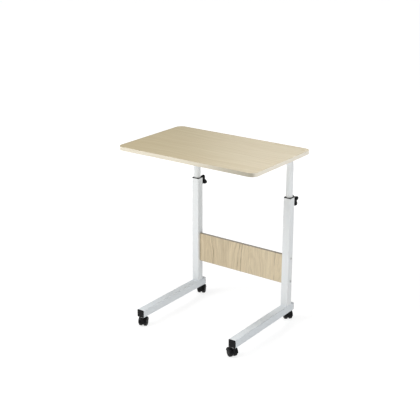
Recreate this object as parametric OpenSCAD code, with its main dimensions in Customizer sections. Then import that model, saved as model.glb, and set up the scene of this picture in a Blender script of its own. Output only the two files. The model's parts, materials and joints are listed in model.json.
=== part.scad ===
// Rolling side table with two clamped telescopic columns, in millimetres.
// +X runs along the tabletop, +Y points to the back, +Z up. The origin is on
// the floor, in the middle of the space that the whole table covers.

/* [Tabletop] */
// Length of the tabletop
top_len = 630; // [560:5:700]
// Depth of the tabletop
top_depth = 400; // [380:5:460]
// Thickness of the tabletop, laminates included
top_thick = 15; // [12:0.5:22]
// Height of the tabletop's upper face as stored
top_height = 750; // [680:1:790]
// Radius of the tabletop's corners
top_corner = 28; // [10:1:60]
// Thickness of the upper laminate and of the backing
laminate_t = 0.8; // [0.5:0.1:1.2]
// Thickness of the edge band
band_t = 1; // [0.5:0.1:2]
// How far the tabletop's middle lies in front of the origin
top_forward = 30.8; // [20:0.1:45]

/* [Columns] */
// Distance between the columns' centre lines
col_spacing = 447.4; // [400:0.1:520]
// Distance from the tabletop's rear edge forward to the columns' centre line
col_inset = 2.3; // [0:0.1:40]
// Height of the upper end of the columns
col_top = 540; // [500:1:550]
// Width of the square tube of the columns and the feet
tube_w = 32; // [28:0.5:34]
// Wall of the square tube
tube_wall = 1.5; // [1:0.1:2]

/* [Support arms] */
// Diameter of the round tube
arm_d = 27; // [22:0.5:28]
// Wall of the round tube
arm_wall = 1.5; // [1:0.1:2]
// Radius of the bend, to the tube's centre line
bend_r = 60; // [50:1:70]
// Distance from the tabletop's front edge back to the arms' front ends
arm_setback = 100; // [50:1:120]
// Height of the arms' lower ends as stored
arm_low = 411; // [405:1:440]

/* [Feet] */
// Distance from the tabletop's front edge back to the feet's front ends
foot_setback = 8; // [0:0.5:40]
// Length of a foot over its end caps
foot_len = 428; // [400:0.5:480]
// Height of the feet's upper faces
foot_top = 78.2; // [78.2:0.1:90]
// Thickness of an end cap's flange
cap_t = 2.5; // [2:0.5:4]

/* [Panel] */
// Height of the panel's lower edge
panel_low = 171; // [120:1:180]
// Height of the panel itself
panel_h = 125; // [104:1:135]
// Thickness of the panel
panel_t = 12; // [10:0.5:16]
// Distance of the panel's middle plane behind the columns' centre line
panel_back = 1.5; // [-4:0.5:4]
// Height between the two bolts at each end
bolt_pitch = 100; // [60:1:104]

/* [Clamp knobs] */
// Height of the knobs' axes
knob_z = 521.5; // [518:0.5:526]
// Number of lobes
knob_lobes = 4; // [3:1:8]
// Radius to the tips of the lobes
knob_r = 25; // [18:0.5:26]
// Turn of the left knob as stored
knob_turn_left = 19; // [0:1:89]
// Turn of the right knob as stored
knob_turn_right = 55; // [0:1:89]

/* [Casters] */
// Radius of the wheels
wheel_r = 18; // [18:0.5:19]
// Width over the two wheels
caster_w = 34; // [30:0.5:44]
// Distance of the axle from the swivel axis
trail = 13; // [12:0.5:15]
// Distance of the swivel axis from the foot's end
caster_inset = 12.5; // [12.5:0.5:30]
// Swivel of each caster as stored: front left, front right, rear left, rear right
swivels = [113, 150, 115, 138]; // [0:1:359]

/* [Hidden] */
$fn = 64;

// Sides and ends of the table, as signs along X and Y
left = -1;
right = 1;
front = -1;
rear = 1;

// Colours
maple = [0.80, 0.76, 0.65];
oak = [0.78, 0.70, 0.56];
cream = [0.90, 0.87, 0.80];
chipboard = [0.70, 0.58, 0.42];
white_steel = [0.93, 0.93, 0.92];
black_plastic = [0.08, 0.08, 0.08];
zinc = [0.75, 0.75, 0.76];

// Tabletop
top_y = -top_forward;
top_under = top_height - top_thick;
top_front = top_y - top_depth / 2;

// Columns and arms
col_x = col_spacing / 2;
col_y = top_y + top_depth / 2 - col_inset;
tube_corner = 2.5;
cavity_w = tube_w - 2 * tube_wall;
arm_z = top_under - arm_d / 2;
bend_z = arm_z - bend_r;
bend_y = col_y - bend_r;
arm_front = top_front + arm_setback;
arm_bore = arm_d - 2 * arm_wall;
slip = 0.3;        // gap between sliding flat faces
run = 0.05;        // gap round a shaft in its bore
cut = 1;           // extra length of a cut past a face

// Collar on top of each column
collar_t = 3;
collar_depth = 26;

// Glide on each arm's lower end
glide_t = 6;
plug_len = 14;

// Clamp: M8 stud, weld nut and knob
m8_r = 4;
nut_flat = 13;
nut_t = 6.5;
wall_hole_r = 4.5;
knob_gap = 1;
hub_r = 9;
hub_t = 2;
grip_t = 14.5;
knob_y = col_y + tube_w / 2 + nut_t + knob_gap;
stud_in_knob = 13;
lobe_share = 0.3;  // lobe radius and core radius, as shares of the knob's
core_share = 0.6;

// Feet
foot_front = top_front + foot_setback;
foot_rear = foot_front + foot_len;
foot_z = foot_top - tube_w / 2;
foot_under = foot_top - tube_w;
cap_plug = 4;
cap_wall = 2;

// M6 fasteners
m6_r = 3;
m6_hole_r = 3.25;
m6_head_r = 5.5;
m6_head_t = 3;
m6_key_r = 2.3;
key_floor = 1;     // metal left under a key hole
insert_r = 5;
insert_len = 10;
end_room = 2;      // room past a screw's end
arm_bolt_in = 20;
arm_bolt_ys = [arm_front + arm_bolt_in, bend_y - arm_bolt_in];

// Panel
panel_y = col_y + panel_back;
panel_end = col_x - tube_w / 2;
panel_mid_z = panel_low + panel_h / 2;
bolt_zs = [panel_mid_z - bolt_pitch / 2, panel_mid_z + bolt_pitch / 2];
dowel_in = 34;
dowel_r = 5;
dowel_skin = 1;    // thickness of panel left in front of a dowel
dowel_t = panel_t - dowel_skin;
dowel_y = panel_y - panel_t / 2 + dowel_skin;
past_dowel = 6;
panel_bolt_len = tube_w + dowel_in + past_dowel;

// Casters
stem_insert_r = 5.5;
stem_insert_len = 12;
insert_flange_t = 1;
stem_hex_t = 3;
stem_hex_z = foot_under - insert_flange_t - stem_hex_t;
stem_low = 27;
stem_up = 9;
pin_r = 2.5;
web_t = 7;
roof_in = 0.7;
roof_t = 2.5;
neck_r = 7.5;
neck_low = 2 * wheel_r - 0.5;
neck_top = stem_hex_z - slip;
housing_low = 24;
housing_h = 18;
axle_boss_r = 14;
axle_r = 2.5;
axle_end = 2.5;
wheel_gap = 0.5;
shoulder = 5;      // rounding of the tread's outer edge
dish_in = 6;       // ring-shaped hollow in a wheel's outer face
dish_out = 12.5;
dish_depth = 1.5;
wheel_w = (caster_w - web_t) / 2 - wheel_gap;

function caster_x(side) = side * col_x;
function caster_y(end) = end < 0 ? foot_front + caster_inset : foot_rear - caster_inset;
function swivel(end, side) = swivels[(end > 0 ? 2 : 0) + (side > 0 ? 1 : 0)];

// ---- Shared shapes ----

// Rounded rectangle, centred
module rounded_rect(w, d, r) {
    square([w - 2 * r, d], center = true);
    square([w, d - 2 * r], center = true);
    for (sx = [-1, 1], sy = [-1, 1])
        translate([sx * (w / 2 - r), sy * (d / 2 - r)]) circle(r);
}

// Section of the square steel tube
module tube_section() {
    difference() {
        rounded_rect(tube_w, tube_w, tube_corner);
        rounded_rect(cavity_w, cavity_w, tube_corner - tube_wall);
    }
}

// Section of the round steel tube
module arm_section() {
    difference() {
        circle(d = arm_d);
        circle(d = arm_bore);
    }
}

// Outline of the tabletop, less an inset all round
module top_outline(inset = 0) {
    rounded_rect(top_len - 2 * inset, top_depth - 2 * inset, top_corner - inset);
}

// Hexagonal prism by its width over flats
module hex_prism(flat, h) {
    cylinder(d = flat / cos(30), h = h, $fn = 6);
}

// Pan head along +Z with its face at the end, and a hexagonal key hole
module pan_head() {
    difference() {
        cylinder(r = m6_head_r, h = m6_head_t);
        translate([0, 0, key_floor]) cylinder(r = m6_key_r, h = m6_head_t, $fn = 6);
    }
}

// Places its children at one caster, with +X along the trail
module at_caster(end, side) {
    translate([caster_x(side), caster_y(end), 0]) rotate([0, 0, swivel(end, side)])
        children();
}

// ---- Tabletop ----

module tabletop_board() {
    color(chipboard) difference() {
        translate([0, top_y, top_under + laminate_t])
            linear_extrude(top_thick - 2 * laminate_t) top_outline(band_t);
        insert_holes(insert_len);
    }
}

module tabletop_laminate() {
    color(maple) translate([0, top_y, top_height - laminate_t])
        linear_extrude(laminate_t) top_outline(band_t);
}

module tabletop_backing() {
    color(cream) difference() {
        translate([0, top_y, top_under]) linear_extrude(laminate_t) top_outline(band_t);
        insert_holes(insert_len);
    }
}

module tabletop_edge_band() {
    color(cream) translate([0, top_y, top_under]) linear_extrude(top_thick)
        difference() {
            top_outline();
            top_outline(band_t);
        }
}

// Pockets for the threaded inserts, open downwards
module insert_holes(depth) {
    for (side = [left, right], y = arm_bolt_ys)
        translate([side * col_x, y, top_under - cut]) cylinder(r = insert_r, h = depth + cut);
}

module board_inserts() {
    color(zinc) for (side = [left, right], y = arm_bolt_ys)
        translate([side * col_x, y, top_under]) difference() {
            cylinder(r = insert_r, h = insert_len);
            translate([0, 0, -cut]) cylinder(r = m6_r + run, h = insert_len);
        }
}

// ---- Support arms ----

module support_arm(side) {
    color(white_steel) difference() {
        translate([side * col_x, 0, 0]) {
            translate([0, col_y, arm_low]) linear_extrude(bend_z - arm_low) arm_section();
            translate([0, bend_y, bend_z]) rotate([90, 0, 90])
                rotate_extrude(angle = 90) translate([bend_r, 0]) arm_section();
            translate([0, bend_y, arm_z]) rotate([90, 0, 0])
                linear_extrude(bend_y - arm_front) arm_section();
        }
        for (y = arm_bolt_ys)
            translate([side * col_x, y, arm_z - arm_d])
                cylinder(r = m6_hole_r, h = 2 * arm_d);
    }
}

module arm_bolts(side) {
    color(zinc) for (y = arm_bolt_ys)
        translate([side * col_x, y, top_under - arm_d]) {
            cylinder(r = m6_r, h = arm_d + insert_len - end_room);
            rotate([180, 0, 0]) pan_head();
        }
}

// Plug in an arm's front end
module arm_plug(side) {
    color(black_plastic) translate([side * col_x, arm_front, arm_z]) {
        rotate([90, 0, 0]) cylinder(d = arm_d, h = cap_t);
        rotate([-90, 0, 0]) cylinder(d = arm_bore - 2 * run, h = plug_len);
    }
}

// Square shoe on an arm's lower end, which slides in the column
module glide(side) {
    color(black_plastic) translate([side * col_x, col_y, arm_low]) {
        translate([0, 0, -glide_t]) linear_extrude(glide_t)
            rounded_rect(cavity_w - 2 * slip, cavity_w - 2 * slip, tube_corner - tube_wall);
        cylinder(d = arm_bore - 2 * run, h = plug_len);
    }
}

// ---- Columns and feet ----

module column(side) {
    color(white_steel) translate([side * col_x, col_y, 0]) difference() {
        translate([0, 0, foot_top]) linear_extrude(col_top - foot_top) tube_section();
        translate([0, 0, knob_z]) rotate([-90, 0, 0])
            cylinder(r = wall_hole_r, h = tube_w);
        for (z = bolt_zs)
            translate([0, panel_back, z]) rotate([0, 90, 0])
                cylinder(r = m6_hole_r, h = 2 * tube_w, center = true);
    }
}

module foot(side) {
    color(white_steel) difference() {
        translate([side * col_x, foot_front + cap_t, foot_z]) rotate([-90, 0, 0])
            linear_extrude(foot_len - 2 * cap_t) tube_section();
        for (end = [front, rear])
            translate([caster_x(side), caster_y(end), foot_under - cut])
                cylinder(r = stem_insert_r, h = 2 * tube_wall);
    }
}

module foot_cap(end, side) {
    outer_y = end < 0 ? foot_front : foot_rear;
    color(black_plastic) translate([side * col_x, outer_y, foot_z])
        rotate([end < 0 ? -90 : 90, 0, 0]) {
            linear_extrude(cap_t) rounded_rect(tube_w, tube_w, tube_corner);
            translate([0, 0, cap_t]) linear_extrude(cap_plug) difference() {
                rounded_rect(cavity_w - 2 * run, cavity_w - 2 * run, tube_corner - tube_wall);
                square(cavity_w - 2 * cap_wall, center = true);
            }
        }
}

// Bush on a column's upper end that guides the round arm
module collar(side) {
    color(black_plastic) translate([side * col_x, col_y, col_top]) difference() {
        union() {
            linear_extrude(collar_t) rounded_rect(tube_w, tube_w, tube_corner);
            translate([0, 0, -collar_depth]) linear_extrude(collar_depth)
                rounded_rect(cavity_w - 2 * run, cavity_w - 2 * run, tube_corner - tube_wall);
        }
        translate([0, 0, -collar_depth - cut])
            cylinder(r = arm_d / 2 + run, h = collar_depth + collar_t + 2 * cut);
        translate([0, 0, knob_z - col_top]) rotate([-90, 0, 0])
            cylinder(r = wall_hole_r, h = tube_w);
    }
}

// ---- Clamp ----

module clamp_nut(side) {
    color(white_steel) translate([side * col_x, col_y + tube_w / 2, knob_z])
        rotate([-90, 0, 0]) difference() {
            hex_prism(nut_flat, nut_t);
            translate([0, 0, -cut]) cylinder(r = m8_r + run, h = nut_t + 2 * cut);
        }
}

// Outline of the lobed grip
module knob_outline() {
    lobe_r = knob_r * lobe_share;
    circle(knob_r * core_share);
    for (i = [0 : knob_lobes - 1])
        rotate(i * 360 / knob_lobes) translate([knob_r - lobe_r, 0]) circle(lobe_r);
}

module knob(side, turn) {
    color(black_plastic) translate([side * col_x, knob_y, knob_z]) rotate([-90, 0, 0])
        difference() {
            union() {
                cylinder(r = hub_r, h = hub_t);
                translate([0, 0, hub_t]) linear_extrude(grip_t) rotate(turn) knob_outline();
            }
            translate([0, 0, -cut]) cylinder(r = m8_r, h = stud_in_knob + cut);
        }
}

module knob_stud(side) {
    tip_y = col_y + arm_d / 2 + slip;
    color(zinc) translate([side * col_x, tip_y, knob_z]) rotate([-90, 0, 0])
        cylinder(r = m8_r, h = knob_y - tip_y + stud_in_knob);
}

// ---- Panel ----

module panel_board() {
    color(oak) difference() {
        translate([-panel_end, panel_y - panel_t / 2, panel_low + band_t])
            cube([2 * panel_end, panel_t, panel_h - 2 * band_t]);
        for (side = [left, right], z = bolt_zs) {
            translate([side * panel_end, panel_y, z]) rotate([0, -side * 90, 0])
                cylinder(r = m6_hole_r, h = dowel_in + past_dowel + end_room);
            translate([side * (panel_end - dowel_in), dowel_y, z])
                rotate([-90, 0, 0]) cylinder(r = dowel_r, h = panel_t);
        }
    }
}

module panel_band(z) {
    color(oak) translate([-panel_end, panel_y - panel_t / 2, z])
        cube([2 * panel_end, panel_t, band_t]);
}

// Cross dowels set in the panel from behind
module panel_dowels() {
    color(zinc) for (side = [left, right], z = bolt_zs)
        translate([side * (panel_end - dowel_in), dowel_y, z]) difference() {
            rotate([-90, 0, 0]) cylinder(r = dowel_r, h = dowel_t);
            translate([0, panel_y - dowel_y, 0]) rotate([0, 90, 0])
                cylinder(r = m6_r + run, h = 4 * dowel_r, center = true);
        }
}

module panel_bolts(side) {
    color(zinc) for (z = bolt_zs)
        translate([side * (col_x + tube_w / 2), panel_y, z]) {
            rotate([0, -side * 90, 0]) cylinder(r = m6_r, h = panel_bolt_len);
            rotate([0, side * 90, 0]) pan_head();
        }
}

// ---- Casters ----

// Threaded inserts in the feet, one over each caster
module caster_inserts() {
    color(zinc) for (side = [left, right], end = [front, rear])
        translate([caster_x(side), caster_y(end), foot_under - insert_flange_t]) difference() {
            union() {
                cylinder(r = neck_r, h = insert_flange_t);
                cylinder(r = stem_insert_r, h = stem_insert_len);
            }
            translate([0, 0, -cut]) cylinder(r = m8_r + run, h = stem_insert_len + 2 * cut);
        }
}

module caster_stem(end, side) {
    color(zinc) translate([caster_x(side), caster_y(end), 0]) {
        translate([0, 0, stem_low]) cylinder(r = pin_r, h = stem_hex_z - stem_low);
        translate([0, 0, stem_hex_z]) cylinder(r = m8_r, h = foot_under + stem_up - stem_hex_z);
        translate([0, 0, stem_hex_z]) hex_prism(nut_flat, stem_hex_t);
    }
}

// Side view of the hood's middle web: fender, axle boss and stem housing
module web_profile() {
    translate([trail, wheel_r]) {
        circle(axle_boss_r);
        fender_half(0);
    }
    translate([-neck_r, housing_low]) square([2 * neck_r, housing_h]);
}

// Upper half disc of the fender, hollow from the given radius outwards
module fender_half(hollow_r) {
    outer_r = wheel_r + roof_in + roof_t;
    difference() {
        circle(outer_r);
        translate([-2 * outer_r, -2 * outer_r]) square([4 * outer_r, 2 * outer_r]);
        if (hollow_r > 0) circle(hollow_r);
    }
}

module caster_hood(end, side) {
    color(black_plastic) at_caster(end, side) difference() {
        union() {
            rotate([90, 0, 0]) linear_extrude(web_t, center = true) web_profile();
            translate([trail, 0, wheel_r]) rotate([90, 0, 0])
                linear_extrude(caster_w, center = true) fender_half(wheel_r + roof_in);
            translate([0, 0, neck_low]) cylinder(r = neck_r, h = neck_top - neck_low);
        }
        translate([0, 0, stem_low - cut]) cylinder(r = pin_r + run, h = 2 * wheel_r);
        translate([trail, 0, wheel_r]) rotate([90, 0, 0])
            cylinder(r = axle_r, h = 2 * web_t, center = true);
    }
}

module caster_axle(end, side) {
    color(zinc) at_caster(end, side) translate([trail, 0, wheel_r]) rotate([90, 0, 0])
        cylinder(r = axle_r, h = caster_w - 2 * axle_end, center = true);
}

// Half section of a wheel: radius along X, width along Y, inner face at Y = 0
module wheel_section() {
    difference() {
        union() {
            square([wheel_r - shoulder, wheel_w]);
            square([wheel_r, wheel_w - shoulder]);
            translate([wheel_r - shoulder, wheel_w - shoulder]) circle(shoulder);
        }
        translate([dish_in, wheel_w - dish_depth]) square([dish_out - dish_in, 2 * dish_depth]);
        translate([-cut, -cut]) square([axle_r + run + cut, wheel_w - axle_end + slip + cut]);
    }
}

module wheel(end, side, face) {
    color(black_plastic) at_caster(end, side)
        translate([trail, face * (web_t / 2 + wheel_gap), wheel_r])
            rotate([-face * 90, 0, 0]) rotate_extrude() wheel_section();
}

// ---- Nodes ----

tabletop_board();
tabletop_laminate();
tabletop_backing();
tabletop_edge_band();
board_inserts();
support_arm(left);  // support_arm_left
support_arm(right);  // support_arm_right
arm_bolts(left);  // arm_bolts_left
arm_bolts(right);  // arm_bolts_right
arm_plug(left);  // arm_plug_left
arm_plug(right);  // arm_plug_right
glide(left);  // glide_left
glide(right);  // glide_right
column(left);  // column_left
column(right);  // column_right
foot(left);  // foot_left
foot(right);  // foot_right
collar(left);  // collar_left
collar(right);  // collar_right
clamp_nut(left);  // clamp_nut_left
clamp_nut(right);  // clamp_nut_right
foot_cap(front, left);  // foot_cap_front_left
foot_cap(front, right);  // foot_cap_front_right
foot_cap(rear, left);  // foot_cap_rear_left
foot_cap(rear, right);  // foot_cap_rear_right
panel_board();
panel_band(panel_low + panel_h - band_t);  // panel_band_top
panel_band(panel_low);  // panel_band_bottom
panel_bolts(left);  // panel_bolts_left
panel_bolts(right);  // panel_bolts_right
panel_dowels();
caster_inserts();
caster_stem(front, left);  // caster_stem_front_left
caster_stem(front, right);  // caster_stem_front_right
caster_stem(rear, left);  // caster_stem_rear_left
caster_stem(rear, right);  // caster_stem_rear_right
knob(left, knob_turn_left);  // knob_left
knob(right, knob_turn_right);  // knob_right
knob_stud(left);  // knob_stud_left
knob_stud(right);  // knob_stud_right
caster_hood(front, left);  // caster_hood_front_left
caster_hood(front, right);  // caster_hood_front_right
caster_hood(rear, left);  // caster_hood_rear_left
caster_hood(rear, right);  // caster_hood_rear_right
caster_axle(front, left);  // caster_axle_front_left
caster_axle(front, right);  // caster_axle_front_right
caster_axle(rear, left);  // caster_axle_rear_left
caster_axle(rear, right);  // caster_axle_rear_right
wheel(front, left, 1);  // wheel_front_left_a
wheel(front, left, -1);  // wheel_front_left_b
wheel(front, right, 1);  // wheel_front_right_a
wheel(front, right, -1);  // wheel_front_right_b
wheel(rear, left, 1);  // wheel_rear_left_a
wheel(rear, left, -1);  // wheel_rear_left_b
wheel(rear, right, 1);  // wheel_rear_right_a
wheel(rear, right, -1);  // wheel_rear_right_b
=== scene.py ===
"""A rolling overbed table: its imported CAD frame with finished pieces, materials, light and camera.

Lengths are in metres, in the part's own frame: X along the table, Y to the back, Z up.
"""

import json
import math

import bmesh
import bpy
from mathutils import Matrix, Quaternion, Vector

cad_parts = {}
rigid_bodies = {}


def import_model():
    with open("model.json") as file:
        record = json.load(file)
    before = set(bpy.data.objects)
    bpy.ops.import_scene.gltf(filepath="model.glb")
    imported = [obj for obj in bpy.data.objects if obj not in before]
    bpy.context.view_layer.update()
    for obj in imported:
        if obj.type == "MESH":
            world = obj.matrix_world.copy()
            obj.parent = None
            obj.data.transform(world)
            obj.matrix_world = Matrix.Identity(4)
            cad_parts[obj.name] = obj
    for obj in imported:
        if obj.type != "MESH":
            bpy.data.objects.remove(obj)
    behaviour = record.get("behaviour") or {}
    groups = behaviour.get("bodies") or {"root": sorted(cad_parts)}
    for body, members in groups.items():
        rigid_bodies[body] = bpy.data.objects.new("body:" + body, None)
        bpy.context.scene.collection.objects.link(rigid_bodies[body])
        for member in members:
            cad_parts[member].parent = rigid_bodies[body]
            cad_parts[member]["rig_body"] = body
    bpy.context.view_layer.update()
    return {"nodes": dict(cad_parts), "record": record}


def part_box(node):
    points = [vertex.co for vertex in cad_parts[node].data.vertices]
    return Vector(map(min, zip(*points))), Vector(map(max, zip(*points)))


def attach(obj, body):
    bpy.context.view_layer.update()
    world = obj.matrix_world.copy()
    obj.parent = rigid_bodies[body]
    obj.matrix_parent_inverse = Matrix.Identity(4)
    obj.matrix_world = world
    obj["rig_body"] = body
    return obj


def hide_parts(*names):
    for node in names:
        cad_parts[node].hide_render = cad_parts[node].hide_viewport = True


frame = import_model()
NODES = frame["nodes"]
MM = 0.001
SIDES = ("left", "right")
ENDS = ("front", "rear")
SHARP_ANGLE = math.radians(38)

# Sizes that pieces share, in millimetres
TUBE = 32.0
TUBE_CORNER = 2.5
CAVITY = 29.0
CAVITY_CORNER = 1.0
TOP_CORNER = 28.0
COLLAR_FLANGE = 3.0
CAP_FLANGE = 2.5
ARM_R = 13.5
ARM_BORE_R = 12.0
KNOB_R = 25.0
KNOB_LOBES = 4
KNOB_TURNS = {"left": 19, "right": 55}
WHEEL_R = 18.0
WHEEL_WIDTH = 13.0
WHEEL_EDGE = 5.0
CASTER_WIDTH = 34.0
WEB_WIDTH = 7.0
TRAIL = 13.0


# ---- Outlines: the same number of points for each pair that a skin joins, in millimetres ----

def angles(count):
    return [2 * math.pi * i / count for i in range(count)]


def circle(radius, count=64):
    return [(radius * math.cos(a), radius * math.sin(a)) for a in angles(count)]


def rounded(width, depth, corner, inset=0.0, steps=10):
    """Rectangle with rounded corners, pulled in by an inset."""
    w, d, r = width / 2 - inset, depth / 2 - inset, max(corner - inset, 0.05)
    points = []
    for quarter, (sx, sy) in enumerate(((1, 1), (-1, 1), (-1, -1), (1, -1))):
        for i in range(steps + 1):
            a = math.pi / 2 * (quarter + i / steps)
            points.append((sx * (w - r) + r * math.cos(a), sy * (d - r) + r * math.sin(a)))
    return points


def circle_like(points, radius):
    """Circle whose points lie in the same directions as those of another outline."""
    return [(radius * x / math.hypot(x, y), radius * y / math.hypot(x, y)) for x, y in points]


def polar(radius_at, count=64):
    return [(radius_at(a) * math.cos(a), radius_at(a) * math.sin(a)) for a in angles(count)]


def hexagon(flat, limit=1e9, grow=0.0, count=72):
    """Hexagon by its width over flats, trimmed to a circle of a given radius."""
    def radius_at(a):
        turn = (a + math.pi / 6) % (math.pi / 3) - math.pi / 6
        return min(flat / 2 / math.cos(turn), limit) + grow
    return polar(radius_at, count)


def slot_outline(length, width, count=64):
    def radius_at(a):
        along, across = abs(math.cos(a)), abs(math.sin(a))
        return min(length / 2 / max(along, 1e-6), width / 2 / max(across, 1e-6))
    return polar(radius_at, count)


def at(points, height):
    return [(x, y, height) for x, y in points]


def lathe(profile, count=64):
    """Rings from (radius, height) pairs."""
    return [at(circle(r, count), h) for r, h in profile]


# ---- Making pieces ----

def add_skin(bm, rings, closed, place):
    """One closed skin through rings of points; a closed one joins its last ring to its first."""
    loops = [[bm.verts.new(place @ Vector(p)) for p in ring] for ring in rings]
    pairs = list(zip(loops, loops[1:]))
    if closed:
        pairs.append((loops[-1], loops[0]))
    else:
        bm.faces.new(list(reversed(loops[0])))
        bm.faces.new(loops[-1])
    for low, high in pairs:
        for i, start in enumerate(low):
            j = (i + 1) % len(low)
            bm.faces.new((start, low[j], high[j], high[i]))


def skin(rings, closed=False, place=None):
    return rings, closed, place or Matrix()


def make_mesh(name, skins, sharp=SHARP_ANGLE):
    bm = bmesh.new()
    for rings, closed, place in skins:
        add_skin(bm, rings, closed, place)
    bmesh.ops.recalc_face_normals(bm, faces=bm.faces)
    bm.transform(Matrix.Scale(MM, 4))
    for face in bm.faces:
        face.smooth = True
    for edge in bm.edges:
        edge.smooth = edge.calc_face_angle(0.0) < sharp
    mesh = bpy.data.meshes.new(name)
    bm.to_mesh(mesh)
    bm.free()
    return mesh


def add_piece(name, mesh, slot, body, place=None, replaces=()):
    """Puts a mesh in the scene as a finished piece that rides on a body."""
    piece = bpy.data.objects.new(name, mesh)
    bpy.context.scene.collection.objects.link(piece)
    piece.matrix_world = place or Matrix()
    if not mesh.materials:
        mesh.materials.append(MATERIALS[slot])
    even = piece.modifiers.new("even_normals", "WEIGHTED_NORMAL")
    even.keep_sharp = True
    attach(piece, body)
    if replaces:
        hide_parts(*replaces)
    return piece


def body_of(node):
    return NODES[node]["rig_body"]


def centre(node):
    low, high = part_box(node)
    return (low + high) / 2


def facing(point, axis):
    """Matrix that puts a piece's origin on a point and its +Z along an axis."""
    turn = {"+X": ("Y", 90), "-X": ("Y", -90), "+Y": ("X", -90), "-Y": ("X", 90),
            "+Z": ("X", 0), "-Z": ("X", 180)}[axis]
    return Matrix.Translation(point) @ Matrix.Rotation(math.radians(turn[1]), 4, turn[0])


# ---- Materials ----

class Surface:
    """One material's node tree, with a short call for each kind of node that it uses."""

    def __init__(self, name, **sockets):
        self.material = bpy.data.materials.new(name)
        self.material.use_nodes = True
        self.tree = self.material.node_tree
        self.shader = self.tree.nodes["Principled BSDF"]
        for key, value in sockets.items():
            self.shader.inputs[key.replace("_", " ")].default_value = value
        self.place = self.node("ShaderNodeTexCoord").outputs["Object"]

    def node(self, kind, inputs=None, **settings):
        made = self.tree.nodes.new(kind)
        for key, value in settings.items():
            setattr(made, key, value)
        for key, value in (inputs or {}).items():
            if isinstance(value, bpy.types.NodeSocket):
                self.tree.links.new(value, made.inputs[key])
            else:
                made.inputs[key].default_value = value
        return made

    def math(self, operation, a, b=0.0, clamp=False):
        return self.node("ShaderNodeMath", {0: a, 1: b}, operation=operation,
                         use_clamp=clamp).outputs[0]

    def split(self, vector):
        return self.node("ShaderNodeSeparateXYZ", {0: vector}).outputs

    def join(self, x, y, z):
        return self.node("ShaderNodeCombineXYZ", {0: x, 1: y, 2: z}).outputs[0]

    def scaled(self, vector, scale):
        return self.node("ShaderNodeVectorMath", {0: vector, 1: scale},
                         operation="MULTIPLY").outputs[0]

    def noise(self, vector, scale=1.0, detail=2.0, rough=0.5, warp=0.0):
        return self.node("ShaderNodeTexNoise", {
            "Vector": vector, "Scale": scale, "Detail": detail, "Roughness": rough,
            "Distortion": warp}).outputs["Fac"]

    def distance(self, x, y):
        return self.math("SQRT", self.math("ADD", self.math("MULTIPLY", x, x),
                                           self.math("MULTIPLY", y, y)))

    def span(self, value, low, high, to_low=0.0, to_high=1.0):
        return self.node("ShaderNodeMapRange", {
            "Value": value, "From Min": low, "From Max": high,
            "To Min": to_low, "To Max": to_high}, interpolation_type="SMOOTHSTEP").outputs[0]

    def mix(self, amount, a, b, blend="MIX"):
        made = self.node("ShaderNodeMix", data_type="RGBA", blend_type=blend)
        factor, first, second = made.inputs[0], made.inputs[6], made.inputs[7]
        for socket, value in ((factor, amount), (first, a), (second, b)):
            if isinstance(value, bpy.types.NodeSocket):
                self.tree.links.new(value, socket)
            elif socket is factor:
                socket.default_value = value
            else:
                socket.default_value = (*value, 1.0)
        return made.outputs[2]

    def colour(self, value):
        self.tree.links.new(value, self.shader.inputs["Base Color"])

    def roughness(self, value):
        self.tree.links.new(value, self.shader.inputs["Roughness"])

    def bump(self, height, depth, strength=1.0):
        """Raises the surface by up to a depth in millimetres."""
        made = self.node("ShaderNodeBump", {
            "Height": height, "Distance": depth * MM, "Strength": strength})
        self.tree.links.new(made.outputs[0], self.shader.inputs["Normal"])


def wood_rings(surface, along, across, centres, pitch, stretch):
    """Thin arched growth lines: nested long ellipses round each centre, as on flat-sawn wood."""
    lines = None
    for x0, y0 in centres:
        dx = surface.math("SUBTRACT", across, x0)
        dy = surface.math("MULTIPLY", surface.math("SUBTRACT", along, y0), stretch)
        distance = surface.distance(dx, dy)
        lines = distance if lines is None else surface.math("SMOOTH_MIN", lines, distance)
    wave = surface.math("SINE", surface.math("MULTIPLY", lines, 2 * math.pi / pitch))
    return surface.span(wave, -1.0, 1.0)


def maple_laminate():
    """Pale satin laminate: streaks, faint arches and fibres along X; painted shade at left and back
    rims.
    """
    s = Surface("maple_laminate", Specular_IOR_Level=0.5)
    x, y, _ = s.split(s.place)
    drift = s.noise(s.scaled(s.place, (2.2, 7.0, 1.0)), detail=2.0)
    wavy = s.math("ADD", y, s.span(drift, 0.2, 0.8, -0.022, 0.022))
    grain = s.join(x, wavy, 0.0)
    streaks = s.noise(s.scaled(grain, (2.5, 85.0, 1.0)), detail=4.0, rough=0.62)
    fibres = s.noise(s.scaled(grain, (16.0, 900.0, 1.0)), detail=2.0)
    patches = s.noise(s.scaled(s.place, (3.0, 6.0, 1.0)), detail=1.0)
    arches = wood_rings(s, x, wavy, ((-0.09, -0.12), (0.03, 0.14)), 0.013, 0.085)
    tone = s.mix(s.span(streaks, 0.32, 0.70), MAPLE_LIGHT, MAPLE_DARK)
    tone = s.mix(s.math("MULTIPLY", arches, 0.06), tone, MAPLE_LINE)
    tone = s.mix(s.span(patches, 0.35, 0.75, 0.0, 0.30), tone, MAPLE_WARM)
    tone = s.mix(s.span(fibres, 0.58, 0.74, 0.0, 0.22), tone, MAPLE_LINE)
    # Painted shade: a tan line just inside the top's left and back edges.
    painted_edge_shade = s.math("MAXIMUM", s.span(x, -0.312, -0.306, 1.0, 0.0), s.span(y, 0.160, 0.166))
    tone = s.mix(s.math("MULTIPLY", painted_edge_shade, 0.45), tone, MAPLE_LINE)
    s.colour(tone)
    s.roughness(s.span(streaks, 0.3, 0.7, 0.36, 0.46))
    s.bump(fibres, 0.02, 0.5)
    return s.material


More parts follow.
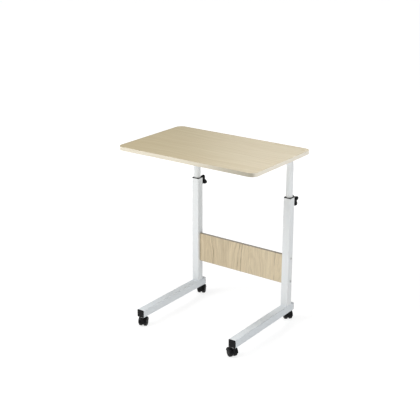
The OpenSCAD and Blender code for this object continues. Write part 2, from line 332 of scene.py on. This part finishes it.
def oak_panel():
    """Bleached oak laminate, painted lighter to the right: upright arches, long pores and dark
    strands.
    """
    s = Surface("oak_panel", Specular_IOR_Level=0.45)
    x, _, z = s.split(s.place)
    drift = s.noise(s.scaled(s.place, (9.0, 1.0, 4.5)), detail=2.0)
    small = s.noise(s.scaled(s.place, (38.0, 1.0, 13.0)), detail=2.0)
    bent = s.math("ADD", x, s.span(drift, 0.2, 0.8, -0.014, 0.014))
    bent = s.math("ADD", bent, s.span(small, 0.2, 0.8, -0.0022, 0.0022))
    grain = s.join(bent, 0.0, z)
    streaks = s.noise(s.scaled(grain, (190.0, 1.0, 6.0)), detail=5.0, rough=0.7)
    broad = s.noise(s.scaled(grain, (26.0, 1.0, 2.0)), detail=2.0)
    pores = s.noise(s.scaled(grain, (900.0, 1.0, 34.0)), detail=1.0)
    arches = wood_rings(s, z, bent, OAK_ARCHES, 0.0075, 0.22)
    tone = s.mix(s.span(streaks, 0.32, 0.68), OAK_LIGHT, OAK_MID)
    tone = s.mix(s.span(broad, 0.38, 0.70, 0.0, 0.22), tone, OAK_GREY)
    tone = s.mix(s.span(arches, 0.55, 1.0, 0.0, 0.11), tone, OAK_LINE)
    strands = None
    for place in OAK_STRANDS:
        gap = s.math("ABSOLUTE", s.math("SUBTRACT", bent, place))
        line = s.span(gap, 0.0006, 0.0028, 1.0, 0.0)
        strands = line if strands is None else s.math("MAXIMUM", strands, line)
    broken = s.span(s.noise(s.scaled(grain, (60.0, 1.0, 16.0)), detail=2.0), 0.30, 0.62)
    tone = s.mix(s.math("MULTIPLY", s.math("MULTIPLY", strands, broken), 0.9), tone, OAK_LINE)
    tone = s.mix(s.span(pores, 0.60, 0.74, 0.0, 0.40), tone, OAK_LINE)
    # Painted light: the panel paler towards its right end.
    tone = s.mix(s.span(x, -0.22, 0.22, 0.0, 1.0), tone, s.mix(1.0, tone, OAK_PAINTED_LIGHT, "ADD"))
    s.colour(tone)
    s.roughness(s.span(streaks, 0.3, 0.7, 0.42, 0.54))
    s.bump(s.math("SUBTRACT", streaks, s.span(pores, 0.6, 0.74)), 0.05, 0.5)
    return s.material


def panel_edging():
    """Brown plastic edge strip with a faint printed grain along its length."""
    s = Surface("panel_edge", Specular_IOR_Level=0.4)
    streaks = s.noise(s.scaled(s.place, (12.0, 500.0, 500.0)), detail=4.0, rough=0.6)
    specks = s.noise(s.place, 420.0, detail=1.0)
    tone = s.mix(s.span(streaks, 0.35, 0.68), TRIM_LIGHT, TRIM_DARK)
    tone = s.mix(s.span(specks, 0.62, 0.75, 0.0, 0.20), tone, TRIM_DARK)
    s.colour(tone)
    s.roughness(s.span(streaks, 0.3, 0.7, 0.34, 0.44))
    s.bump(specks, 0.02, 0.4)
    return s.material


def edge_banding():
    """Cream edge strip: painted shade towards the front right and at the top arris, painted light on
    the right.
    """
    s = Surface("edge_band", Specular_IOR_Level=0.5)
    x, y, z = s.split(s.place)
    streaks = s.noise(s.scaled(s.place, (12.0, 12.0, 700.0)), detail=4.0, rough=0.6)
    specks = s.noise(s.place, 420.0, detail=1.0)
    tone = s.mix(s.span(streaks, 0.35, 0.68), BAND_LIGHT, BAND_DARK)
    tone = s.mix(s.span(specks, 0.62, 0.75, 0.0, 0.20), tone, BAND_DARK)
    # Painted shade: the front face darker towards its right end.
    painted_front_shade = s.math("MULTIPLY", s.span(y, -0.192, -0.168, 1.0, 0.0), s.span(x, -0.02, 0.31))
    tone = s.mix(painted_front_shade, tone, BAND_PAINTED_SHADE)
    # Painted light: the band's right side paler.
    tone = s.mix(s.span(x, 0.302, 0.313, 0.0, 0.85), tone, BAND_PAINTED_LIGHT)
    # Painted shade: a tan line along the top arris, stronger to the left.
    painted_edge_shade = s.math("MULTIPLY", s.span(z, 0.0143, 0.0149), s.span(x, 0.02, 0.28, 0.8, 0.15))
    s.colour(s.mix(painted_edge_shade, tone, BAND_EDGE_SHADE))
    s.roughness(s.span(streaks, 0.3, 0.7, 0.34, 0.44))
    s.bump(specks, 0.02, 0.4)
    return s.material


def powder_coat():
    """White powder coat: fine orange peel and uneven gloss; painted shade makes the feet bluer and
    darker.
    """
    s = Surface("white_steel", Specular_IOR_Level=0.4, Coat_Weight=0.05, Coat_Roughness=0.2)
    cloud = s.noise(s.place, 14.0, detail=3.0)
    peel = s.noise(s.place, 720.0, detail=2.0)
    # Painted shade: bluer and darker below the top of the feet.
    low = s.span(s.split(s.place)[2], *ABOVE_FEET, 1.0, 0.0)
    tone = s.mix(s.span(cloud, 0.3, 0.7), COAT_COOL, COAT_WARM)
    s.colour(s.mix(low, tone, COAT_PAINTED_SHADE))
    s.roughness(s.span(s.math("ADD", cloud, s.math("MULTIPLY", peel, 0.4)), 0.4, 1.0, 0.50, 0.60))
    s.bump(peel, 0.025, 0.6)
    return s.material


def moulded_plastic(name, base, dust, rough, peel_scale):
    """Black moulded plastic with a fine spark texture and slightly greyer high spots."""
    s = Surface(name, Specular_IOR_Level=0.14)
    cloud = s.noise(s.place, 60.0, detail=3.0)
    texture = s.noise(s.place, peel_scale, detail=2.0)
    tone = s.mix(s.span(cloud, 0.35, 0.75, 0.0, 0.5), base, dust)
    tone = s.mix(s.span(texture, 0.60, 0.72, 0.0, 0.35), tone, dust)
    s.colour(tone)
    s.roughness(s.span(cloud, 0.3, 0.7, rough, rough + 0.12))
    s.bump(texture, 0.03, 0.6)
    return s.material


def wheel_nylon():
    """Black nylon wheel: the tread, far from the axle, is rubbed greyer and duller."""
    s = Surface("wheel_nylon", Specular_IOR_Level=0.14)
    x, y, _ = s.split(s.place)
    tread = s.span(s.distance(x, y), 0.0165, 0.0178)
    scuffs = s.noise(s.scaled(s.place, (260.0, 260.0, 90.0)), detail=3.0)
    worn = s.math("MULTIPLY", tread, s.span(scuffs, 0.35, 0.7, 0.25, 1.0))
    s.colour(s.mix(worn, NYLON, NYLON_WORN))
    s.roughness(s.span(worn, 0.0, 1.0, 0.36, 0.62))
    s.bump(s.noise(s.place, 900.0, detail=2.0), 0.02, 0.5)
    return s.material


def zinc_plate():
    """Bright zinc: clouded plating with fine scratches."""
    s = Surface("zinc_steel", Metallic=1.0)
    cloud = s.noise(s.place, 180.0, detail=3.0)
    scratches = s.noise(s.scaled(s.place, (2400.0, 300.0, 300.0)), detail=1.0)
    s.colour(s.mix(s.span(cloud, 0.35, 0.7), ZINC_COOL, ZINC_WARM))
    s.roughness(s.span(s.math("ADD", cloud, s.math("MULTIPLY", scratches, 0.5)),
                       0.5, 1.0, 0.22, 0.42))
    s.bump(scratches, 0.008, 0.5)
    return s.material


def chipboard():
    """Bare chipboard: pressed flakes of several tones."""
    s = Surface("board_core", Roughness=0.85, Specular_IOR_Level=0.3)
    flakes = s.node("ShaderNodeTexVoronoi", {
        "Vector": s.scaled(s.place, (1.0, 1.6, 2.6)), "Scale": 420.0}).outputs
    tint = s.split(flakes["Color"])[0]
    s.colour(s.mix(tint, CHIP_LIGHT, CHIP_DARK))
    s.bump(flakes["Distance"], 0.25, 0.6)
    return s.material


def backing_paper():
    """Cream melamine backing with faint mottling."""
    s = Surface("backing", Specular_IOR_Level=0.4)
    mottle = s.noise(s.place, 90.0, detail=4.0, rough=0.6)
    s.colour(s.mix(s.span(mottle, 0.35, 0.7), BACKING_LIGHT, BACKING_DARK))
    s.roughness(s.span(mottle, 0.3, 0.7, 0.50, 0.60))
    s.bump(s.noise(s.place, 500.0, detail=2.0), 0.02, 0.5)
    return s.material


MAPLE_LIGHT = (0.556, 0.478, 0.314)
MAPLE_DARK = (0.500, 0.420, 0.262)
MAPLE_WARM = (0.528, 0.430, 0.268)
# MAPLE_LINE also colours the painted shade at the top's left and back edges.
MAPLE_LINE = (0.380, 0.300, 0.170)
OAK_LIGHT = (0.720, 0.605, 0.415)
OAK_MID = (0.560, 0.455, 0.295)
OAK_GREY = (0.530, 0.450, 0.315)
# OAK_PAINTED_LIGHT is painted light added towards the panel's right end.
OAK_PAINTED_LIGHT = (0.090, 0.085, 0.070)
OAK_LINE = (0.270, 0.190, 0.110)
OAK_ARCHES = ((-0.172, 0.215), (0.052, 0.165), (0.196, 0.262))
OAK_STRANDS = (-0.146, -0.012, 0.002, 0.161)
BAND_LIGHT = (0.770, 0.715, 0.590)
BAND_DARK = (0.700, 0.635, 0.500)
# Painted shade (front face, top arris) and painted light (right side) of the edge band
BAND_PAINTED_SHADE = (0.430, 0.395, 0.310)
BAND_PAINTED_LIGHT = (0.850, 0.795, 0.680)
BAND_EDGE_SHADE = (0.420, 0.340, 0.220)
TRIM_LIGHT = (0.360, 0.315, 0.250)
TRIM_DARK = (0.260, 0.225, 0.175)
COAT_COOL = (0.815, 0.845, 0.860)
COAT_WARM = (0.835, 0.855, 0.858)
# Painted shade on the feet, below the heights in ABOVE_FEET.
COAT_PAINTED_SHADE = (0.745, 0.785, 0.815)
ABOVE_FEET = (0.079, 0.083)
PLASTIC = (0.006, 0.006, 0.007)
PLASTIC_DUST = (0.014, 0.014, 0.015)
NYLON = (0.006, 0.006, 0.007)
NYLON_WORN = (0.020, 0.020, 0.020)
ZINC_COOL = (0.66, 0.68, 0.70)
ZINC_WARM = (0.76, 0.75, 0.71)
CHIP_LIGHT = (0.56, 0.42, 0.25)
CHIP_DARK = (0.33, 0.22, 0.12)
BACKING_LIGHT = (0.80, 0.76, 0.67)
BACKING_DARK = (0.74, 0.70, 0.60)

MATERIALS = {
    "maple_laminate": maple_laminate(),
    "oak_panel": oak_panel(),
    "edge_band": edge_banding(),
    "panel_edge": panel_edging(),
    "white_steel": powder_coat(),
    "black_plastic": moulded_plastic("black_plastic", PLASTIC, PLASTIC_DUST, 0.38, 1500.0),
    "wheel_nylon": wheel_nylon(),
    "zinc_steel": zinc_plate(),
    "board_core": chipboard(),
    "backing": backing_paper(),
}


def finish_cad_nodes():
    """Gives every CAD node its slot's material; a replaced node stays hidden all the same."""
    for row in frame["record"]["subparts"]:
        node = NODES[row["node"]]
        for slot in node.material_slots:
            slot.material = MATERIALS[row["material_slot"]]


# ---- Tabletop ----

def make_edge_band():
    low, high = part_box("tabletop_edge_band")
    size = (high - low) / MM
    top = size.z
    section = ((1.0, 0.0), (0.55, 0.0), (0.16, 0.14), (0.0, 0.5), (0.0, top - 0.7),
               (0.08, top - 0.36), (0.32, top - 0.10), (0.7, top), (0.9, top), (1.0, top - 0.1))
    rings = [at(rounded(size.x, size.y, TOP_CORNER, inset, 24), h) for inset, h in section]
    place = Matrix.Translation(((low.x + high.x) / 2, (low.y + high.y) / 2, low.z))
    add_piece("edge_band", make_mesh("edge_band", [skin(rings, closed=True)]), "edge_band",
              body_of("tabletop_edge_band"), place, ["tabletop_edge_band"])


# ---- Fasteners ----

def bolt_skin(length, place):
    """M6 bolt with a domed head and a key hole; the head sits on the origin, facing +Z."""
    dome = [(3.0, -length), (3.0, -0.05), (5.3, 0.0), (5.5, 0.15), (5.5, 1.0), (5.28, 1.75),
            (4.65, 2.4), (3.75, 2.82), (2.9, 3.0)]
    rings = lathe(dome, 72) + [at(hexagon(4.0), 2.95), at(hexagon(3.9), 1.0)]
    return skin(rings, place=place)


def make_bolts(node, points, axis, length):
    skins = [bolt_skin(length, facing(p / MM, axis)) for p in points]
    add_piece(node + "_set", make_mesh(node, skins), "zinc_steel", body_of(node),
              replaces=[node])


def make_fasteners():
    for side, axis in (("left", "-X"), ("right", "+X")):
        low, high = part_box(f"panel_bolts_{side}")
        seat = high.x - 3 * MM if side == "right" else low.x + 3 * MM
        rows = (low.z + 5.5 * MM, high.z - 5.5 * MM)
        points = [Vector((seat, (low.y + high.y) / 2, z)) for z in rows]
        make_bolts(f"panel_bolts_{side}", points, axis, (high.x - low.x) / MM - 3)
        low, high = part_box(f"arm_bolts_{side}")
        rows = (low.y + 5.5 * MM, high.y - 5.5 * MM)
        points = [Vector(((low.x + high.x) / 2, y, low.z + 3 * MM)) for y in rows]
        make_bolts(f"arm_bolts_{side}", points, "-Z", (high.z - low.z) / MM - 3)


def make_dowels():
    """Cross dowels, with their screwdriver slots in the panel's back."""
    low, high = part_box("panel_dowels")
    profile = [(4.6, 0.0), (5.0, 0.4), (5.0, 10.7), (4.75, 10.95), (4.4, 11.0)]
    slot = [at(slot_outline(7.4, 1.3), 11.0), at(slot_outline(7.3, 1.2), 9.7)]
    skins = [skin(lathe(profile) + slot, place=facing(Vector((x, low.y, z)) / MM, "+Y"))
             for x in (low.x + 5 * MM, high.x - 5 * MM) for z in (low.z + 5 * MM, high.z - 5 * MM)]
    add_piece("cross_dowels", make_mesh("cross_dowels", skins), "zinc_steel",
              body_of("panel_dowels"), replaces=["panel_dowels"])


# ---- Panel trim ----

def make_panel_trim():
    """The strips on the panel's long edges, eased where they meet its faces."""
    for edge, sign in (("top", 1), ("bottom", -1)):
        node = f"panel_band_{edge}"
        low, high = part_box(node)
        size = (high - low) / MM
        section = [(-6.0, 0.0), (-6.0, 0.45), (-5.85, 0.8), (-5.5, 1.0), (5.5, 1.0), (5.85, 0.8),
                   (6.0, 0.45), (6.0, 0.0)]
        rings = [[(x, sign * y, z) for y, z in section]
                 for x in (-size.x / 2, size.x / 2)]
        rings = [[(x, y, sign * z) for x, y, z in ring] for ring in rings]
        base = low.z if sign > 0 else high.z
        place = Matrix.Translation((0, (low.y + high.y) / 2, base))
        add_piece(f"panel_trim_{edge}", make_mesh(node, [skin(rings)]), "panel_edge",
                  body_of(node), place, [node])


# ---- Caps, collars and nuts ----

def make_arm_plugs():
    bore, r = ARM_BORE_R - 0.05, ARM_R
    profile = [(bore - 0.6, -14.0), (bore, -12.5), (bore, 0.0), (r - 0.15, 0.0), (r, 0.2),
               (r, 1.2), (r - 0.2, 1.75), (r - 0.9, 2.2), (r - 2.3, 2.45), (r - 4.5, 2.5)]
    for side in SIDES:
        node = f"arm_plug_{side}"
        low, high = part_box(node)
        point = Vector(((low.x + high.x) / 2, low.y + CAP_FLANGE * MM, (low.z + high.z) / 2))
        add_piece(f"arm_end_{side}", make_mesh(node, [skin(lathe(profile))]), "black_plastic",
                  body_of(node), facing(point, "-Y"), [node])


def make_collars():
    """Guide bushes: a flange with eased edges, and a sleeve inside the column.

    The bore has points only where the flange's corners have them, so its sides are flat.
    """
    for side in SIDES:
        node = f"collar_{side}"
        low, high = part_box(node)
        depth = (high.z - low.z) / MM - COLLAR_FLANGE
        steps = 14
        outer = rounded(TUBE, TUBE, TUBE_CORNER, 0, steps)
        sleeve = rounded(CAVITY - 0.1, CAVITY - 0.1, CAVITY_CORNER, 0, steps)
        rings = [at(sleeve, h) for h in (-depth, 0.0)]
        for inset, h in ((0.1, 0.0), (0.0, 0.25), (0.0, 2.2), (0.18, 2.65), (0.6, 2.95),
                         (1.0, 3.0)):
            rings.append(at(rounded(TUBE, TUBE, TUBE_CORNER, inset, steps), h))
        bore = ARM_R + 0.12
        for radius, h in ((bore + 0.9, 3.0), (bore + 0.3, 2.8), (bore, 2.2), (bore, -depth)):
            rings.append(at(circle_like(outer, radius), h))
        place = Matrix.Translation((centre(node).x, centre(node).y, high.z - COLLAR_FLANGE * MM))
        add_piece(f"guide_bush_{side}", make_mesh(node, [skin(rings, closed=True)]),
                  "black_plastic", body_of(node), place, [node])


def make_foot_caps():
    for end, axis in (("front", "-Y"), ("rear", "+Y")):
        for side in SIDES:
            node = f"foot_cap_{end}_{side}"
            low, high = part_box(node)
            plug = CAVITY - 0.1
            rings = [at(rounded(plug, plug, CAVITY_CORNER, 0.6), -4.0)]
            rings += [at(rounded(plug, plug, CAVITY_CORNER), h) for h in (-3.4, 0.0)]
            for inset, h in ((0.1, 0.0), (0.0, 0.2), (0.0, 1.3), (0.22, 1.85), (0.8, 2.25),
                             (1.8, 2.45), (3.2, 2.5)):
                rings.append(at(rounded(TUBE, TUBE, TUBE_CORNER + 1.0, inset), h))
            face = low.y + CAP_FLANGE * MM if end == "front" else high.y - CAP_FLANGE * MM
            point = Vector(((low.x + high.x) / 2, face, (low.z + high.z) / 2))
            add_piece(f"end_cap_{end}_{side}", make_mesh(node, [skin(rings)]), "black_plastic",
                      body_of(node), facing(point, axis), [node])


def make_clamp_nuts():
    """Hexagonal weld nuts with chamfered corners, and the bead that holds each to its column."""
    for side in SIDES:
        node = f"clamp_nut_{side}"
        low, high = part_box(node)
        rings = [at(hexagon(13.0, limit), h) for limit, h in
                 ((9.0, 0.0), (9.0, 5.7), (7.3, 5.9), (7.0, 6.15), (6.6, 6.4), (6.2, 6.5))]
        rings += lathe([(4.7, 6.5), (4.1, 6.0), (4.1, 0.0)], 72)
        bead = []
        for a in angles(10):
            ring = hexagon(13.0, grow=0.2 + 0.85 * math.cos(a))
            bead.append([(x * (1 + 0.012 * math.sin(9 * i)), y, 0.15 + 0.85 * math.sin(a))
                         for i, (x, y) in enumerate(ring)])
        point = Vector(((low.x + high.x) / 2, low.y, (low.z + high.z) / 2))
        mesh = make_mesh(node, [skin(rings, closed=True), skin(bead, closed=True)])
        add_piece(f"weld_nut_{side}", mesh, "white_steel", body_of(node),
                  facing(point, "+Y"), [node])


def make_weld_beads():
    """Painted fillet welds across the front and back of each column, on top of its foot."""
    length, radius, steps = TUBE - 5, 1.9, 56
    for side in SIDES:
        low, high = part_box(f"column_{side}")
        skins = []
        for sign in (-1, 1):
            middle = Vector(((low.x + high.x) / 2, (low.y + high.y) / 2, low.z)) / MM
            rings = []
            for i in range(steps + 1):
                t = i / steps
                swell = radius * (0.62 + 0.38 * math.sqrt(max(0.0, 1 - (2 * t - 1) ** 8)))
                swell *= 1 + 0.06 * math.cos(2 * math.pi * i / 4)
                x = middle.x + (t - 0.5) * length
                y = middle.y + sign * (TUBE / 2 + 0.15)
                rings.append([(x, y + swell * math.cos(a), middle.z + 0.15 + swell * math.sin(a))
                              for a in angles(14)])
            skins.append(skin(rings))
        add_piece(f"column_weld_{side}", make_mesh(f"column_weld_{side}", skins),
                  "white_steel", body_of(f"column_{side}"))


# ---- Clamp knobs ----

def lobed(inset, share=1.0, count=160):
    """The knob's outline: lobes joined by hollow curves. A share below 1 evens the lobes out."""
    def radius_at(a):
        lobe = (0.5 + 0.5 * math.cos(KNOB_LOBES * a)) ** 1.1
        star = KNOB_R * (0.60 + 0.40 * lobe) - inset
        return share * star + (1 - share) * (KNOB_R * 0.62 - inset)
    return polar(radius_at, count)


def knob_rings():
    count = 160
    rings = lathe([(4.15, 0.6), (4.6, 0.0), (8.3, 0.0), (8.8, 0.3), (9.0, 1.0)], count)
    for inset, height, share in ((6.0, 2.0, 0.35), (3.4, 2.25, 0.9), (1.7, 2.7, 1.0),
                                 (0.6, 3.6, 1.0), (0.1, 5.0, 1.0), (0.0, 8.0, 1.0),
                                 (0.1, 11.2, 1.0), (0.6, 13.0, 1.0), (1.5, 14.6, 1.0),
                                 (2.9, 15.7, 1.0), (4.6, 16.3, 0.9), (5.6, 16.5, 0.5)):
        rings.append(at(lobed(inset, share, count), height))
    rings += lathe([(8.6, 16.45), (8.0, 16.2), (7.7, 15.6), (7.3, 15.3), (5.0, 15.45),
                    (2.0, 15.6)], count)
    return rings


def make_knobs():
    for side in SIDES:
        node = f"knob_{side}"
        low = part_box(node)[0]
        stud = centre(f"knob_stud_{side}")
        turn = Matrix.Rotation(math.radians(KNOB_TURNS[side]), 4, "Z")
        place = facing(Vector((stud.x, low.y, stud.z)), "+Y") @ turn
        mesh = make_mesh(node, [skin(knob_rings())], math.radians(60))
        add_piece(f"grip_{side}", mesh, "black_plastic", body_of(node), place, [node])


# ---- Casters ----

def fender_skin():
    """Crowned cover over both wheels, from one side of the axle over to the other."""
    half = CASTER_WIDTH / 2
    inner = WHEEL_R + 0.7
    section = [(-half, inner + 0.6), (-half + 0.5, inner + 1.4), (-half + 1.8, inner + 2.0),
               (-half + 5, inner + 2.4), (0, inner + 2.5), (half - 5, inner + 2.4),
               (half - 1.8, inner + 2.0), (half - 0.5, inner + 1.4), (half, inner + 0.6),
               (half - 0.4, inner + 0.1), (half - 1.2, inner), (0, inner),
               (-half + 1.2, inner), (-half + 0.4, inner + 0.1)]
    rings = []
    for i in range(41):
        a = math.pi * i / 40
        rings.append([(TRAIL + r * math.cos(a), y, WHEEL_R + r * math.sin(a)) for y, r in section])
    return skin(rings)


def web_skins():
    """The solid middle of the caster: axle boss, web under the fender, and the stem's housing."""
    sideways = Matrix.Translation((TRAIL, 0, WHEEL_R)) @ Matrix.Rotation(math.pi / 2, 4, "X")
    half = WEB_WIDTH / 2
    boss = skin(lathe([(13.4, -half), (14.0, -half + 0.6), (14.0, half - 0.6), (13.4, half)], 48),
                place=sideways)
    fan = [((WHEEL_R + 1.5) * math.cos(a), (WHEEL_R + 1.5) * math.sin(a))
           for a in [math.pi * i / 30 for i in range(31)]]
    web = skin([at(fan, -half), at(fan, half)], place=sideways)
    housing = skin([at(rounded(15.0, WEB_WIDTH, 2.5), h) for h in (24.0, 41.5)])
    neck = skin(lathe([(5.6, 34.5), (7.3, 35.5), (7.5, 36.2), (7.5, 41.6), (7.1, 42.1)], 48))
    return [boss, web, housing, neck]


def hood_mesh():
    """Moulded hood: its solids fused, their joins softened, then thinned to a light mesh."""
    mesh = make_mesh("hood_raw", [fender_skin(), *web_skins()])
    raw = bpy.data.objects.new("hood_raw", mesh)
    bpy.context.scene.collection.objects.link(raw)
    fuse = raw.modifiers.new("fuse", "REMESH")
    fuse.mode, fuse.voxel_size, fuse.use_smooth_shade = "VOXEL", 0.42 * MM, True
    soften = raw.modifiers.new("soften", "SMOOTH")
    soften.factor, soften.iterations = 0.5, 5
    thin = raw.modifiers.new("thin", "DECIMATE")
    thin.ratio = 0.3
    graph = bpy.context.evaluated_depsgraph_get()
    fused = bpy.data.meshes.new_from_object(raw.evaluated_get(graph))
    bpy.data.objects.remove(raw)
    for face in fused.polygons:
        face.use_smooth = True
    return fused


def wheel_mesh():
    """One wheel of a pair: rounded outer edge, and a dished outer face with ribs and a hub."""
    w, r, edge = WHEEL_WIDTH, WHEEL_R, WHEEL_EDGE
    bore_r, bore_depth = 2.56, 10.8
    profile = [(bore_r, 0.0), (r - 0.9, 0.0), (r - 0.3, 0.2), (r - 0.05, 0.7), (r, 1.6),
               (r, w - 6.5)]
    profile += [(r - edge + edge * math.cos(a), w - edge + edge * math.sin(a))
                for a in [math.pi / 2 * i / 12 for i in range(13)]]
    profile += [(12.5, w), (12.25, w - 0.15), (12.1, w - 0.5), (12.0, w - 1.4), (7.2, w - 1.6),
                (6.5, w - 1.4), (6.3, w - 0.6), (5.9, w - 0.25), (4.6, w - 0.05), (2.5, w),
                (0.4, w)]
    rings = lathe(profile, 96)
    rings.append(at(circle(0.2, 96), w))
    bore = [at(circle(0.3, 96), bore_depth), at(circle(bore_r, 96), bore_depth)]
    skins = [skin(bore + rings)]
    for i in range(5):
        turn = Matrix.Rotation(2 * math.pi * i / 5, 4, "Z")
        rings = [at([(x, y) for x, y in rounded(6.4, h, 0.4, 0, 3)], z)
                 for h, z in ((2.6, w - 2.2), (2.4, w - 0.8), (1.9, w - 0.45))]
        skins.append(skin(rings, place=turn @ Matrix.Translation((9.2, 0, 0))))
    return make_mesh("wheel", skins)


def make_casters():
    hood, wheel = hood_mesh(), wheel_mesh()
    hood.name = "hood"
    for end in ENDS:
        for side in SIDES:
            corner = f"{end}_{side}"
            stem, axle = centre(f"caster_stem_{corner}"), centre(f"caster_axle_{corner}")
            swivel = math.atan2(axle.y - stem.y, axle.x - stem.x)
            place = Matrix.Translation((stem.x, stem.y, 0)) @ Matrix.Rotation(swivel, 4, "Z")
            node = f"caster_hood_{corner}"
            add_piece(f"hood_{corner}", hood, "black_plastic", body_of(node), place, [node])
            for letter, face in (("a", 1), ("b", -1)):
                node = f"wheel_{corner}_{letter}"
                inner = Vector((TRAIL, face * (WEB_WIDTH / 2 + 0.5), WHEEL_R)) * MM
                turned = Matrix.Rotation(-face * math.pi / 2, 4, "X")
                at_axle = place @ Matrix.Translation(inner) @ turned
                add_piece(f"castor_wheel_{corner}_{letter}", wheel, "wheel_nylon",
                          body_of(node), at_axle, [node])


# ---- Floor, light and camera ----

FLOOR_SIZE = 80.0
FLOOR_WHITE = (0.3, 0.3, 0.3)
GLOW_NEAR = 0.80
GLOW_FAR = 0.965
GLOW_REACH = (0.6, 2.6)
SKY = (1.0, 1.0, 1.0)
SKY_STRENGTH = 0.12

# Name, place, the point that it faces, side of its square and power of each lamp
SOFTBOXES = (
    ("front_left", (-1.2, -2.0, 2.3), (-0.1, 0.0, 0.45), 1.2, 47),
    ("right", (1.6, -0.2, 2.0), (0.25, 0.0, 0.6), 1.0, 14),
    ("overhead", (0.0, -0.6, 5.0), (0.0, 0.0, 0.5), 2.0, 77),
    ("back", (-1.1, 2.6, 2.4), (0.15, 0.0, 0.75), 1.3, 19),
)

SENSOR_WIDTH = 36.0
CAMERA_LENS = 79.90
CAMERA_PLACE = (1.9930, -2.8374, 1.6972)
CAMERA_TARGET = (0.3436, -0.5342, 0.7098)
CAMERA_ROLL = math.radians(0.155)
CAMERA_REACH = 200.0


def make_floor():
    """A pale sweep, lit from within a little more out where the lamps don't reach."""
    half = FLOOR_SIZE / 2
    mesh = bpy.data.meshes.new("floor")
    mesh.from_pydata([(-half, -half, 0), (half, -half, 0), (half, half, 0), (-half, half, 0)],
                     [], [(0, 1, 2, 3)])
    floor = bpy.data.objects.new("floor", mesh)
    bpy.context.scene.collection.objects.link(floor)
    s = Surface("floor", Roughness=0.9, Specular_IOR_Level=0.1)
    s.shader.inputs["Base Color"].default_value = (*FLOOR_WHITE, 1)
    s.shader.inputs["Emission Color"].default_value = (1, 1, 1, 1)
    x, y, _ = s.split(s.place)
    s.tree.links.new(s.span(s.distance(x, y), *GLOW_REACH, GLOW_NEAR, GLOW_FAR),
                     s.shader.inputs["Emission Strength"])
    mesh.materials.append(s.material)


def aim(thing, point):
    thing.rotation_euler = (Vector(point) - thing.location).to_track_quat("-Z", "Y").to_euler()


def add_softbox(name, place, towards, size, power):
    light = bpy.data.lights.new(name, "AREA")
    light.shape, light.size, light.size_y, light.energy = "RECTANGLE", size, size, power
    lamp = bpy.data.objects.new(name, light)
    bpy.context.scene.collection.objects.link(lamp)
    lamp.location = place
    lamp.visible_camera = False
    aim(lamp, towards)


def light_studio():
    world = bpy.data.worlds.new("studio")
    bpy.context.scene.world = world
    world.use_nodes = True
    sky = world.node_tree.nodes["Background"].inputs
    sky["Color"].default_value = (*SKY, 1)
    sky["Strength"].default_value = SKY_STRENGTH
    for softbox in SOFTBOXES:
        add_softbox(*softbox)


def place_camera():
    camera = bpy.data.cameras.new("camera")
    camera.sensor_width, camera.lens = SENSOR_WIDTH, CAMERA_LENS
    camera.clip_end = CAMERA_REACH
    holder = bpy.data.objects.new("camera", camera)
    bpy.context.scene.collection.objects.link(holder)
    holder.location = CAMERA_PLACE
    aim(holder, CAMERA_TARGET)
    level = holder.rotation_euler.to_quaternion()
    roll = Quaternion((0, 0, 1), CAMERA_ROLL)
    holder.rotation_euler = (level @ roll).to_euler()
    bpy.context.scene.camera = holder
    bpy.context.scene.view_settings.view_transform = "Standard"


finish_cad_nodes()
make_edge_band()
make_fasteners()
make_dowels()
make_panel_trim()
make_arm_plugs()
make_collars()
make_foot_caps()
make_clamp_nuts()
make_weld_beads()
make_knobs()
make_casters()
make_floor()
light_studio()
place_camera()
